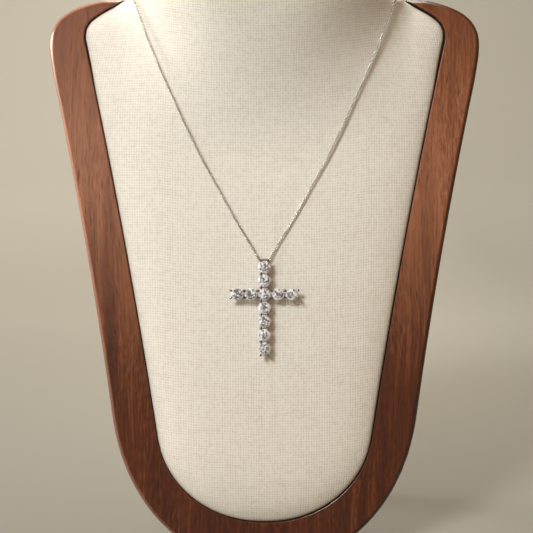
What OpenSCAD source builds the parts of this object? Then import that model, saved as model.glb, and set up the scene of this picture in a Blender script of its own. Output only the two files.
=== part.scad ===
// A cross pendant of round stones on a fine chain, worn by a linen bust
// that is set in a wooden board. X runs to the viewer's right, -Y towards
// the viewer and Z up. The origin is the middle of the board's flat foot.

/* [Wooden board] */
// Width of the board across its rounded shoulders
board_w = 171.6; // [166:0.2:190]
// Height of the board's flat top edge above its foot
board_h = 222.4; // [216:0.2:222.6]
// Thickness of the board
board_t = 14; // [10:0.5:20]
// Width of the board where its round lower end begins
board_low_w = 121.6; // [116:0.2:128]
// Height at which the board's round lower end begins
board_low_h = 54.4; // [48:0.2:60]
// Depth of the pocket that holds the linen form
pocket_d = 4; // [3:0.1:4.2]
// Angle at which the board leans back
lean = 10; // [6:0.5:14]
// Distance from the flat top down to where the shoulders begin to round
bend_drop = 32.4; // [30:0.2:34]
// How much narrower the board is there than across its shoulders
bend_in = 3.2; // [2:0.2:4]
// How far the board's round lower end would reach below the floor
foot_cut = 3.4; // [2.5:0.1:4.5]

/* [Linen bust] */
// Width of the linen form across its shoulders
linen_w = 143.2; // [138:0.2:146]
// Width of the linen form where its round lower end begins
linen_low_w = 84.4; // [80:0.2:88]
// Height at which its round lower end begins
linen_low_h = 46.4; // [42:0.2:50]
// Height of its lowest point
linen_foot_h = 14.1; // [11:0.1:18]
// Height of its shoulder corners
shoulder_h = 207; // [202:0.5:208]
// Height of the flat top of its neck
neck_h = 258; // [250:0.5:275]
// Width of the neck at its top
neck_w = 80; // [70:1:90]
// How far the neck stands out in front of the chest
neck_out = 38; // [25:1:40]
// Height of the padding at the middle of the chest
crown_h = 8; // [6:0.1:8.2]
// How far the edge of the padding lies below the board's face
edge_sunk = 2; // [1.8:0.1:2.5]
// How far the long sides of the board and of the padding are hollowed
side_hollow = 1.2; // [0:0.1:2]
// Clearance between the linen form and its pocket
linen_gap = 0.8; // [0.4:0.1:1.2]
// How far the neck's swelling fades out beyond its sides
neck_fade = 2; // [1:0.1:3]

/* [Back prop] */
// Width of the prop at the floor
prop_w = 56; // [40:1:80]
// Width of the prop at its top
prop_top_w = 34; // [24:1:56]
// Thickness of the prop
prop_t = 6; // [4:0.5:10]
// Height of the prop's top along the board
prop_h = 150; // [120:1:170]
// Distance from the board's foot to the back of the prop's foot
prop_out = 80; // [65:1:95]

/* [Stones] */
// Diameter of each stone
stone_d = 4.9; // [4.5:0.05:5]
// Distance between the centres of neighbouring stones
pitch = 5.35; // [5.3:0.05:5.8]
// Diameter of the flat table on top
table_d = 2.75; // [2.4:0.05:3]
// Height of the crown above the girdle
crown = 0.73; // [0.6:0.01:0.85]
// Thickness of the girdle
girdle_t = 0.12; // [0.06:0.01:0.2]
// Depth of the pavilion below the girdle
pavilion = 2.1; // [1.9:0.05:2.2]

/* [Setting] */
// Radius of the prong tips
claw_r = 0.4; // [0.3:0.01:0.42]
// Radius of the posts under the prong tips
post_r = 0.45; // [0.3:0.01:0.5]
// Radius of the sloping legs that carry the posts
leg_r = 0.34; // [0.25:0.01:0.38]
// Clearance between the metal and the stones
stone_gap = 0.08; // [0.05:0.01:0.15]
// Height of the girdles in front of the bail's axis
girdle_out = 2.5; // [2.4:0.05:3]
// Outer diameter of the bail's tube
bail_d = 2.2; // [2.1:0.05:2.3]
// Diameter of the bail's bore
bore_d = 1.6; // [1.5:0.05:1.8]
// Length of the bail's tube
bail_l = 2.8; // [2.4:0.1:3]
// Height of the bail's axis above the top stone's centre
bail_up = 2.4; // [2.2:0.05:2.5]
// Thickness of the two rails behind the stones
rail_t = 0.5; // [0.4:0.05:0.6]
// Width of the metal in the two rails
rail_w = 0.55; // [0.45:0.05:0.6]
// Middle radius of the front rail's rings
rail_r = 1.8; // [1.7:0.05:1.9]
// Height of the front rail in front of the bail's axis
rail_z = 0.9; // [0.85:0.05:1]
// Middle radius of the back rail's rings
back_r = 1.5; // [1.3:0.05:1.6]
// How far the back rail lies behind the bail's axis
back_z = 1; // [0.9:0.05:1.1]
// Width of the cross bars between the front rail's rings
tie_w = 0.7; // [0.6:0.05:0.8]
// Radius of the pins that join the two rails
pin_r = 0.36; // [0.3:0.01:0.4]
// How deep joined pieces of metal run into each other
weld = 0.1; // [0.08:0.01:0.12]
// How far a claw's middle lies down the crown's slope from the girdle's edge
claw_slide = 0.15; // [0.1:0.01:0.2]

/* [Chain and clasp] */
// Outer diameter of the chain
chain_d = 1.2; // [1:0.05:1.25]
// Diameter of the barrel clasp
clasp_d = 2.8; // [2.4:0.1:2.9]
// Length of the barrel clasp
clasp_l = 9; // [7:0.5:9]

/* [Hidden] */

// One half of the chain's route, from the middle of the bail round the neck to
// the clasp: right, up along the board, and out from the board's face
CHAIN_ROUTE = [
    [0, 118, 7.4], [1.7, 118, 7.4], [2.2, 118.4, 7.4], [2.6, 119.3, 7.3],
    [3.4, 121, 7.1], [6.4, 126, 6.8], [12.2, 135.6, 6.8], [18, 146.2, 6.8],
    [24.8, 158.4, 6.9], [32.2, 173.8, 8.2], [36.2, 182.8, 9.1], [39.8, 190.8, 9.6],
    [43.3, 199, 10], [46.1, 206, 10.3], [48.1, 211.6, 10.6], [49.7, 216.5, 10.8],
    [51.3, 220.4, 9.9], [53.2, 222.4, 6.6], [54.9, 223.2, 2.6], [55.7, 223.3, -0.6],
    [55.6, 223.3, -3.4], [54.7, 223.3, -5], [52.6, 223.3, -5.3], [38, 223.3, -5.4],
    [20, 223.3, -5.4], [9, 223.7, -5.4], [4.7, 224, -5.4]];
CHAIN_SIDES = 8;

// Gap left where one piece lies against another
seat_gap = 0.2;

function mix(a, b, t) = a + (b - a) * t;
function ease(t) = let(s = max(0, min(1, t))) s * s * (3 - 2 * s);
function mirrored(points) = [for (p = points) [-p[0], p[1], p[2]]];
function reversed(points) = [for (k = [len(points) - 1:-1:0]) points[k]];

// Places what is written in board coordinates: right, up along the board, out
module on_board() rotate([90 - lean, 0, 0]) translate([0, 0, board_t / 2]) children();

// A solid skin over a row of rings that all have the same number of points
module loft(rings) {
    n = len(rings[0]);
    last = (len(rings) - 1) * n;
    sides = [for (i = [0:len(rings) - 2], k = [0:n - 1])
        let(a = i * n + k, b = i * n + (k + 1) % n)
        each [[a, b, b + n], [a, b + n, a + n]]];
    caps = [[for (k = [n - 1:-1:0]) k], [for (k = [0:n - 1]) last + k]];
    polyhedron([for (ring = rings) each ring], concat(sides, caps));
}

// A squared-off arc: the shares of its width and height at an angle
function squared(angle, power) = [pow(cos(angle), 2 / power), pow(sin(angle), 2 / power)];

// Board outline: hollowed tapering sides between a round foot and round shoulders
board_bend_h = board_h - bend_drop;
board_bend_w = board_w - bend_in;
board_arc_h = 35 / 32.4 * bend_drop;
board_taper = (board_bend_w - board_low_w) / 2 / (board_bend_h - board_low_h);
LOW_ARC = 2.35;
TOP_ARC = 4;

function board_side(v) =
    let(s = max(0, min(1, (v - board_low_h) / (board_bend_h - board_low_h))))
    board_low_w / 2 + board_taper * (v - board_low_h) - 4 * side_hollow * s * (1 - s);

function board_low(angle) =
    let(q = squared(angle, LOW_ARC), v = board_low_h - (board_low_h + foot_cut) * q[1])
    [board_side(v) * q[0], v];

function board_top(angle) =
    let(q = squared(angle, TOP_ARC), v = board_bend_h + board_arc_h * q[1])
    [board_side(v) * q[0], v];

board_top_angle = asin(pow((board_h - board_bend_h) / board_arc_h, TOP_ARC / 2));
board_edge = concat(
    [for (a = [90:-6:6]) board_low(a)],
    [for (k = [0:10]) let(v = mix(board_low_h, board_bend_h, k / 10)) [board_side(v), v]],
    [for (k = [1:10]) board_top(board_top_angle * k / 10)]);

// Linen outline: the same kind of sides, a round foot and a neck between shoulders
LINEN_ARC = 2.2;
SHOULDER_FALL = 0.295;
SHOULDER_POWER = 3.2;

function linen_side(v) =
    let(s = (v - linen_low_h) / (shoulder_h - linen_low_h), t = max(0, min(1, s)))
    mix(linen_low_w, linen_w, min(1, s)) / 2 - 4 * side_hollow * t * (1 - t);

function linen_reach(v) = v <= shoulder_h ? linen_side(v)
    : let(x = (v - shoulder_h) / (neck_h - shoulder_h) / SHOULDER_FALL)
    mix(neck_w, linen_w, 1 / (1 + pow(x, SHOULDER_POWER))) / 2;

function linen_low_share(v) = max(0, (linen_low_h - v) / (linen_low_h - linen_foot_h));

function linen_half(v) =
    linen_reach(v) * pow(1 - pow(linen_low_share(v), LINEN_ARC), 1 / LINEN_ARC);

// Padding: a low dome with a rolled edge, and the neck that stands out of it
PAD_ROLL = 2.6;
NECK_START = 156 / 207;
NECK_END = 252 / 258;
NECK_FADE_W = 120 / 143.2;

function pad_share(u, v) = min(1, pow(
    pow(abs(u) / linen_reach(v), LINEN_ARC) + pow(linen_low_share(v), LINEN_ARC),
    1 / LINEN_ARC));

function neck_rise(v) =
    let(from = NECK_START * shoulder_h, to = NECK_END * neck_h)
    neck_out * ease((v - from) / (to - from));

function neck_shape(u, v) =
    let(half = min(linen_reach(v) + neck_fade, NECK_FADE_W * linen_w / 2),
        up = (v - shoulder_h) / (neck_h - shoulder_h),
        square = mix(2, 3, ease(up * 1.28 + 0.43)),
        fullness = mix(2, 0.6, ease(up * 1.28 + 0.05)))
    pow(max(0, 1 - pow(abs(u) / half, square)), fullness);

function linen_out(u, v) =
    crown_h * sqrt(1 - pow(pad_share(u, v), PAD_ROLL)) - edge_sunk
    + neck_rise(v) * neck_shape(u, v);

linen_back = seat_gap - pocket_d;
NECK_SECTIONS = [0.05, 0.1, 0.13, 0.16, 0.19, 0.22, 0.25, 0.28, 0.31, 0.35, 0.4,
    0.46, 0.53, 0.62, 0.72, 0.82, 0.91, 1];
linen_heights = concat(
    [for (a = [86, 78, 70, 60, 50, 40, 30, 20, 10])
        linen_low_h - (linen_low_h - linen_foot_h) * squared(a, LINEN_ARC)[1]],
    [for (k = [0:18]) mix(linen_low_h, shoulder_h, k / 18)],
    [for (share = NECK_SECTIONS) mix(shoulder_h, neck_h, share)]);
linen_edge = concat([[0, linen_foot_h]], [for (v = linen_heights) [linen_half(v), v]]);

function linen_ring(v) = concat(
    [[-linen_half(v), v, linen_back]],
    [for (a = [-90:6:90]) let(u = linen_half(v) * sin(a)) [u, v, linen_out(u, v)]],
    [[linen_half(v), v, linen_back]]);

// Both halves of an outline that is given for its right side only
module whole_outline(edge)
    polygon(concat(edge, [for (k = [len(edge) - 1:-1:0]) [-edge[k][0], edge[k][1]]]));

module wood_board() color("#7a4a33") difference() {
    on_board() difference() {
        translate([0, 0, -board_t]) linear_extrude(board_t) whole_outline(board_edge);
        translate([0, 0, -pocket_d]) linear_extrude(2 * pocket_d)
            offset(delta = linen_gap) whole_outline(linen_edge);
    }
    floor_cut = board_w;
    translate([0, 0, -floor_cut / 2]) cube(floor_cut, center = true);
}

module linen_bust() color("#ded5bd")
    on_board() loft([for (v = linen_heights) linen_ring(v)]);

// Side view of the prop: its top lies against the board's back, its foot on the floor
function behind_board(v) = let(out = board_t / 2 + seat_gap)
    [v * sin(lean) + out * cos(lean), v * cos(lean) - out * sin(lean)];

module back_prop() color("#7a4a33") {
    top = behind_board(prop_h);
    down = [prop_out, 0] - top;
    slant = atan2(down[0], -down[1]);
    bevel_l = prop_t / sin(slant + lean);
    low = behind_board(prop_h - bevel_l);
    foot_front = low[0] + down[0] / -down[1] * low[1];
    intersection() {
        rotate([90, 0, 90]) linear_extrude(prop_w, center = true)
            polygon([top, low, [foot_front, 0], [prop_out, 0]]);
        rotate([90, 0, 0]) linear_extrude(4 * prop_out, center = true)
            polygon([[-prop_w / 2, 0], [prop_w / 2, 0],
                [prop_top_w / 2, top[1]], [-prop_top_w / 2, top[1]]]);
    }
}

// Chain: one tube along the whole route, open only at the clasp
chain_path = concat(reversed(CHAIN_ROUTE), [for (k = [1:len(CHAIN_ROUTE) - 1])
    mirrored(CHAIN_ROUTE)[k]]);

function unit(v) = v / norm(v);
function heading(path, i) =
    unit(path[min(i + 1, len(path) - 1)] - path[max(i - 1, 0)]);
// Turns a ring's side vector along the path without twist
function sideways(path, i, before) =
    let(d = heading(path, i), side = unit(before - (before * d) * d))
    concat([side], i + 1 < len(path) ? sideways(path, i + 1, side) : []);

module tube(path, radius, sides) {
    side = sideways(path, 0, [0, 1, 0]);
    loft([for (i = [0:len(path) - 1])
        let(up = cross(heading(path, i), side[i]))
        [for (k = [0:sides - 1]) let(a = 360 * k / sides)
            path[i] + radius * (cos(a) * side[i] + sin(a) * up)]]);
}

module chain() color("#c8c8c6") on_board() tube(chain_path, chain_d / 2, CHAIN_SIDES);

module clasp() color("#c8c8c6") {
    at = CHAIN_ROUTE[len(CHAIN_ROUTE) - 1];
    on_board() translate([0, at[1], at[2]]) rotate([0, 90, 0])
        cylinder(d = clasp_d, h = clasp_l, center = true, $fn = 32);
}

// Cross: pendant coordinates have the centre stone's axis at right 0 and up 0,
// and the bail's axis at out 0
arms = [["up", 0, 2], ["down", 180, 4], ["left", 90, 2], ["right", -90, 2]];
top_row = arms[0][2];
bail_y = top_row * pitch + bail_up;

module on_pendant() on_board() translate(CHAIN_ROUTE[0] - [0, bail_y, 0]) children();

// A round brilliant: table, stars, kites, girdle, halves and mains
module brilliant() {
    r = stone_d / 2;
    mid_r = 0.82 * r;
    low_r = 0.25 * r;
    step = 22.5;
    slope = cos(step);
    mid_z = crown * (r - mid_r * slope) / (r - table_d / 2);
    low_z = pavilion * (1 - low_r * slope / r);
    half = girdle_t / 2;
    function circle_points(n, radius, turn, z) =
        [for (k = [0:n - 1]) [radius * cos(360 * k / n + turn), radius * sin(360 * k / n + turn), z]];
    points = concat(
        circle_points(8, table_d / 2, 0, half + crown),
        circle_points(8, mid_r, step, half + mid_z),
        circle_points(16, r, 0, half),
        circle_points(16, r, 0, -half),
        circle_points(8, low_r, step, -half - low_z),
        [[0, 0, -half - pavilion]]);
    function table(k) = (k + 8) % 8;
    function star(k) = 8 + (k + 8) % 8;
    function over(j) = 16 + (j + 16) % 16;
    function under(j) = 32 + (j + 16) % 16;
    function main(k) = 48 + (k + 8) % 8;
    culet = 56;
    faces = concat(
        [[for (k = [7:-1:0]) table(k)]],
        [for (k = [0:7]) each [
            [table(k), table(k + 1), star(k)],
            [table(k), star(k), over(2 * k), star(k - 1)],
            [star(k), over(2 * k + 1), over(2 * k)],
            [star(k), over(2 * k + 2), over(2 * k + 1)],
            [main(k), under(2 * k), under(2 * k + 1)],
            [main(k), under(2 * k + 1), under(2 * k + 2)],
            [culet, main(k - 1), under(2 * k), main(k)]]],
        [for (j = [0:15]) [over(j), over(j + 1), under(j + 1), under(j)]]);
    polyhedron(points, faces);
}

// A stone that lies a number of places to the right and up from the centre
module stone(right, up) color("#eef0f4")
    on_pendant() translate([right * pitch, up * pitch, girdle_out]) brilliant();

// Places of the prongs, from the stones that they hold
stone_r = stone_d / 2;
post_reach = stone_r + post_r + 2.5 * stone_gap;
post_x = sqrt(pow(post_reach, 2) - pow(pitch / 2, 2));
post_angle = atan2(post_x, pitch / 2);
crown_angle = atan2(crown, stone_r - table_d / 2);
claw_reach = stone_r - claw_slide * cos(crown_angle) + (claw_r + stone_gap) * sin(crown_angle);
claw_z = girdle_out + girdle_t / 2 + claw_slide * sin(crown_angle)
    + (claw_r + stone_gap) * cos(crown_angle);

// A round bar between two points, with square ends
module bar(from, to, radius) {
    way = to - from;
    translate(from) rotate([0, acos(way[2] / norm(way)), atan2(way[1], way[0])])
        cylinder(r = radius, h = norm(way), $fn = 24);
}

// A claw: a short bar with turned-in ends, its middle at the origin, along up
module claw(length) rotate([-90, 0, 0]) rotate_extrude($fn = 24) {
    half = length / 2 + claw_r;
    polygon([[0, -half], [0.6 * claw_r, -half], [claw_r, 0.6 * claw_r - half],
        [claw_r, half - 0.6 * claw_r], [0.6 * claw_r, half], [0, half]]);
}

// The two prongs that a stone shares with its neighbour, midway between them
module shared_prongs() for (side = [-1, 1]) {
    claw_x = claw_reach * sin(post_angle);
    claw_y = claw_reach * cos(post_angle);
    translate([side * post_x, 0, rail_z - weld])
        cylinder(r = post_r, h = claw_z + claw_r / 2 - rail_z, $fn = 24);
    translate([side * claw_x, 0, claw_z]) claw(pitch - 2 * claw_y);
}

// The two free prongs of the last stone of an arm, each on its own sloping leg
module end_prongs() for (side = [-1, 1]) rotate(side * post_angle) {
    post_foot = girdle_out - 3 * weld;
    bar([0, rail_r, rail_z + rail_t / 2], [0, post_reach, post_foot + post_r], leg_r);
    translate([0, post_reach, post_foot])
        cylinder(r = post_r, h = claw_z + claw_r / 2 - post_foot, $fn = 24);
    translate([0, (post_reach + claw_reach) / 2, claw_z]) claw(post_reach - claw_reach);
}

// A flat rail: a ring behind each stone, with a spine and cross bars between them.
// It leaves out the last rings of the upper arm, whose spine runs on to top_end.
module rail(z, radius, left_out, top_end, cross_w) {
    function rings(arm) = arm[2] - (arm[0] == "up" ? left_out : 0);
    module at_stones() {
        children();
        for (arm = arms) rotate(arm[1])
            for (k = [1:rings(arm)]) translate([0, k * pitch]) children();
    }
    translate([0, 0, z]) linear_extrude(rail_t) difference() {
        union() {
            at_stones() circle(r = radius + rail_w / 2, $fn = 48);
            for (arm = arms) rotate(arm[1]) {
                end = arm[0] == "up" ? top_end : arm[2] * pitch;
                translate([-rail_w / 2, 0]) square([rail_w, end]);
                if (cross_w > 0) for (k = [1:arm[2]])
                    translate([-cross_w / 2, (k - 0.5) * pitch - tie_w / 2]) square([cross_w, tie_w]);
            }
        }
        at_stones() circle(r = radius - rail_w / 2, $fn = 48);
    }
}

module cross_setting() color("#d6d6d4") on_pendant() difference() {
    union() {
        rail(rail_z, rail_r, 0, top_row * pitch, 2 * post_x + 3 * weld);
        rail(-back_z, back_r, 1, bail_y, 0);
        translate([0, bail_y, 0]) rotate([0, 90, 0])
            cylinder(d = bail_d, h = bail_l, center = true, $fn = 48);
        for (arm = arms) rotate(arm[1]) {
            for (k = [1:arm[2]]) translate([0, (k - 0.5) * pitch, 0]) {
                shared_prongs();
                translate([0, 0, weld - back_z])
                    cylinder(r = pin_r, h = rail_z + rail_t + back_z - 2 * weld, $fn = 24);
            }
            translate([0, arm[2] * pitch, 0]) end_prongs();
        }
    }
    translate([0, bail_y, 0]) rotate([0, 90, 0])
        cylinder(d = bore_d, h = bail_l + 1, center = true, $fn = 48);
}

wood_board();
linen_bust();
back_prop();
chain();
clasp();
cross_setting();
stone(0, 0);  // stone_centre
stone(0, 1);  // stone_up_1
stone(0, 2);  // stone_up_2
stone(0, -1);  // stone_down_1
stone(0, -2);  // stone_down_2
stone(0, -3);  // stone_down_3
stone(0, -4);  // stone_down_4
stone(-1, 0);  // stone_left_1
stone(-2, 0);  // stone_left_2
stone(1, 0);  // stone_right_1
stone(2, 0);  // stone_right_2
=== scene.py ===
import math

import bmesh
import bpy
import numpy as np
from mathutils import Matrix, Vector


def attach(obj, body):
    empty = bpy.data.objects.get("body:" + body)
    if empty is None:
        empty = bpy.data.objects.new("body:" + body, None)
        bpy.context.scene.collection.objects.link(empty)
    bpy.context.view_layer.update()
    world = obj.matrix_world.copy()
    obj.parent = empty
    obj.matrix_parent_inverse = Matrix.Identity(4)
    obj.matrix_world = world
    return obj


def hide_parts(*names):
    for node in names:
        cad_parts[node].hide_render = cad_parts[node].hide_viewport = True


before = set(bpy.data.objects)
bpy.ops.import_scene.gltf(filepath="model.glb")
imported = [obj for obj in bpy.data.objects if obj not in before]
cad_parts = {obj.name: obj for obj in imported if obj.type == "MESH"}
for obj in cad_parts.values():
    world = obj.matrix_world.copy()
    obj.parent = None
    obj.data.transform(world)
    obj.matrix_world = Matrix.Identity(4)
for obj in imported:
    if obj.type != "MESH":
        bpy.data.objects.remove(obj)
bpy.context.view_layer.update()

# Sizes in millimetres, the same as the solids have
LEAN = math.radians(10)
BOARD_T, BOARD_W, BOARD_H = 14, 171.6, 222.4
BOARD_LOW_W, BOARD_LOW_H, FOOT_CUT = 121.6, 54.4, 3.4
BEND_DROP, BEND_IN, ARC_H = 32.4, 3.2, 35
POCKET_D, HOLLOW = 4, 1.2

LINEN_W, LINEN_LOW_W, LINEN_LOW_H, LINEN_FOOT_H = 143.2, 84.4, 46.4, 14.1
SHOULDER_H, NECK_H, NECK_W, NECK_OUT = 207, 258, 80, 38
CROWN_H, EDGE_SUNK, LINEN_GAP, LINEN_BACK, NECK_FADE = 8, 2, 0.8, -3.8, 2

STONE_R, PITCH, CROWN, TABLE_D, GIRDLE_T, GIRDLE_OUT = 2.45, 5.35, 0.73, 2.75, 0.12, 2.5
CLAW_R, POST_R, LEG_R, STONE_GAP = 0.4, 0.45, 0.34, 0.08
BAIL_D, BORE_D, BAIL_L, BAIL_UP = 2.2, 1.6, 2.8, 2.4
RAIL_T, RAIL_W, RAIL_R, RAIL_Z, BACK_R, BACK_Z = 0.5, 0.55, 1.8, 0.9, 1.5, -1.0

CHAIN_ROUTE = [
    (0, 118, 7.4), (1.7, 118, 7.4), (2.2, 118.4, 7.4), (2.6, 119.3, 7.3),
    (3.4, 121, 7.1), (6.4, 126, 6.8), (12.2, 135.6, 6.8), (18, 146.2, 6.8),
    (24.8, 158.4, 6.9), (32.2, 173.8, 8.2), (36.2, 182.8, 9.1), (39.8, 190.8, 9.6),
    (43.3, 199, 10), (46.1, 206, 10.3), (48.1, 211.6, 10.6), (49.7, 216.5, 10.8),
    (51.3, 220.4, 9.9), (53.2, 222.4, 6.6), (54.9, 223.2, 2.6), (55.7, 223.3, -0.6),
    (55.6, 223.3, -3.4), (54.7, 223.3, -5), (52.6, 223.3, -5.3), (38, 223.3, -5.4),
    (20, 223.3, -5.4), (9, 223.7, -5.4), (4.7, 224, -5.4)]
LINK_PITCH, LINK_W, WIRE_D = 0.8, 1.12, 0.28
CLASP_D, CLASP_L = 2.8, 9

PROP_W, PROP_TOP_W, PROP_T, PROP_H, PROP_OUT, SEAT_GAP = 56, 34, 6, 150, 80, 0.2

# What the solids leave out, in millimetres: roundings, the linen's threads and padding
BOARD_ROUND, POCKET_ROUND, PROP_ROUND, NECK_ROUND = 1.7, 0.3, 0.9, 1.5
BOARD_PROFILE = 0.34  # its edges are flatter than round ones, which have 0.5
FORM_ROUND, FORM_EDGE, FORM_IN = 0.7, 0.2, 0.6
THREAD, PLUMP, PLUMP_TOP, PLUMP_FADE = 1.04, 0.45, 185, 15

# How square a curve is: 2 is round, and more is squarer
LINEN_SQUARE, CROWN_SQUARE, FOOT_SQUARE, TOP_SQUARE = 2.2, 2.6, 2.35, 4
# How the shoulders turn into the neck
NECK_STEEP, NECK_TURN = 3.2, 0.295
# The neck's rise out of the chest, as shares of the two heights and of the linen's width
RISE_LOW, RISE_HIGH, RISE_W = 156 / 207, 252 / 258, 120 / 143.2
BLEND, SQUARE_FROM, FULL_FROM = 1.28, 0.43, 0.05

# Counts of rows and columns on the linen's skin, and of sides on a link and its wire
COLUMNS, CHEST_ROWS, NECK_ROWS = 96, 64, 48
FOOT_ANGLES = (88, 84, 80, 76, 72, 67, 62, 57, 52, 47, 42, 37, 32, 27, 22, 17, 12, 7)
LINK_SIDES, WIRE_SIDES = 14, 6
TWISTS = ((24, 0.19), (14, 0.83))  # the chain's lie: degrees, and radians a millimetre
# The clasp's end, as shares of its radius and millimetres from the end, and its seam
CLASP_END = ((0, 0), (0.45, 0), (0.8, 0.25), (1, 0.9), (1, 2.2), (0.9, 2.35), (0.9, 2.6),
             (1, 2.75))
CLASP_SEAM = ((1, -0.2), (0.93, -0.1), (0.93, 0.1), (1, 0.2))
EYE_R, EYE_WIRE_R, EYE_OUT = 0.42, 0.16, 0.3
CORNER = 1.2  # the least angle in radians between two faces that meet in a corner
MERGE = 1e-4  # vertices that are nearer than this, in millimetres, are one

VIEWPOINT = (0.8, 115.8, 592)  # the camera's place, in board coordinates

# From board coordinates in millimetres to the frame in metres
MM = 0.001
S, C = math.sin(LEAN), math.cos(LEAN)
ON_BOARD = Matrix.Scale(MM, 4) @ Matrix((
    (1, 0, 0, 0), (0, S, -C, -C * BOARD_T / 2), (0, C, S, S * BOARD_T / 2), (0, 0, 0, 1)))
BAIL_Y = 2 * PITCH + BAIL_UP
ON_PENDANT = ON_BOARD @ Matrix.Translation(
    Vector(CHAIN_ROUTE[0]) - Vector((0, BAIL_Y, 0)))


# Mesh helpers
def mix(a, b, t):
    """The value that is a share t of the way from a to b."""
    return a + (b - a) * t


def ease(t):
    """A soft step from 0 to 1."""
    t = max(0.0, min(1.0, t))
    return t * t * (3 - 2 * t)


def squared(angle, power):
    """A squared-off arc: the shares of its width and height at an angle in degrees."""
    a = math.radians(angle)
    return abs(math.cos(a)) ** (2 / power), abs(math.sin(a)) ** (2 / power)


def pattern(bm):
    """A finished bmesh as a mesh that can be stamped many times."""
    bmesh.ops.remove_doubles(bm, verts=bm.verts, dist=1e-5)
    bmesh.ops.recalc_face_normals(bm, faces=bm.faces)
    mesh = bpy.data.meshes.new("pattern")
    bm.to_mesh(mesh)
    bm.free()
    return mesh


def stamp(bm, mesh, place):
    """Adds a copy of a pattern to a bmesh, at a place."""
    before = len(bm.verts)
    bm.from_mesh(mesh)
    bm.verts.ensure_lookup_table()
    bmesh.ops.transform(bm, matrix=place, verts=bm.verts[before:])


def verts_of(made):
    """The vertices among what an operator made."""
    return [v for v in made if isinstance(v, bmesh.types.BMVert)]


def edges_of(made):
    """The edges among what an operator made."""
    return [e for e in made if isinstance(e, bmesh.types.BMEdge)]


def turned(profile, steps, closed=False):
    """A solid turned about Z from its profile of (radius, height) points."""
    bm = bmesh.new()
    verts = [bm.verts.new((r, 0, z)) for r, z in profile]
    edges = [bm.edges.new(pair) for pair in zip(verts, verts[1:])]
    if closed:
        edges.append(bm.edges.new((verts[-1], verts[0])))
    bmesh.ops.spin(bm, geom=verts + edges, cent=(0, 0, 0), axis=(0, 0, 1), dvec=(0, 0, 0),
                   angle=2 * math.pi, steps=steps, use_merge=True, use_duplicate=False)
    return pattern(bm)


def block(size, bevel):
    """A block about the origin with rounded edges."""
    bm = bmesh.new()
    bmesh.ops.create_cube(bm, size=1)
    bmesh.ops.scale(bm, vec=size, verts=bm.verts)
    bmesh.ops.bevel(bm, geom=bm.edges[:], offset=bevel, segments=2, profile=0.5,
                    affect="EDGES", material=-1)
    return pattern(bm)


def along(start, end):
    """Turns Z towards end, and puts the origin at start."""
    way = Vector(end) - Vector(start)
    return Matrix.Translation(start) @ way.to_track_quat("Z", "Y").to_matrix().to_4x4()


def piece(name, bm, finish, body, replaces, smooth):
    """Makes a finished object of a bmesh whose vertices are already in the frame. Its
    faces are smooth but for edges that turn by more than smooth, in degrees."""
    mesh = bpy.data.meshes.new(name)
    bm.to_mesh(mesh)
    bm.free()
    made = bpy.data.objects.new(name, mesh)
    bpy.context.scene.collection.objects.link(made)
    mesh.materials.append(finish)
    mesh.shade_smooth()
    mesh.set_sharp_from_angle(angle=math.radians(smooth))
    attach(made, body)
    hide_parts(replaces)
    return made


# Finishes
class Value:
    """A socket of a finish. Arithmetic on it adds the finish's Math nodes."""

    def __init__(self, finish, node, name=0):
        self.finish, self.node, self.socket = finish, node, node.outputs[name]

    def out(self, name):
        """Another output of the same node."""
        return Value(self.finish, self.node, name)

    def __add__(self, other):
        return self.finish.math("ADD", self, other)

    def __sub__(self, other):
        return self.finish.math("SUBTRACT", self, other)

    def __rsub__(self, other):
        return self.finish.math("SUBTRACT", other, self)

    def __mul__(self, other):
        return self.finish.math("MULTIPLY", self, other)

    def __truediv__(self, other):
        return self.finish.math("DIVIDE", self, other)

    def __pow__(self, other):
        return self.finish.math("POWER", self, other)

    __radd__, __rmul__ = __add__, __mul__


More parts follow.
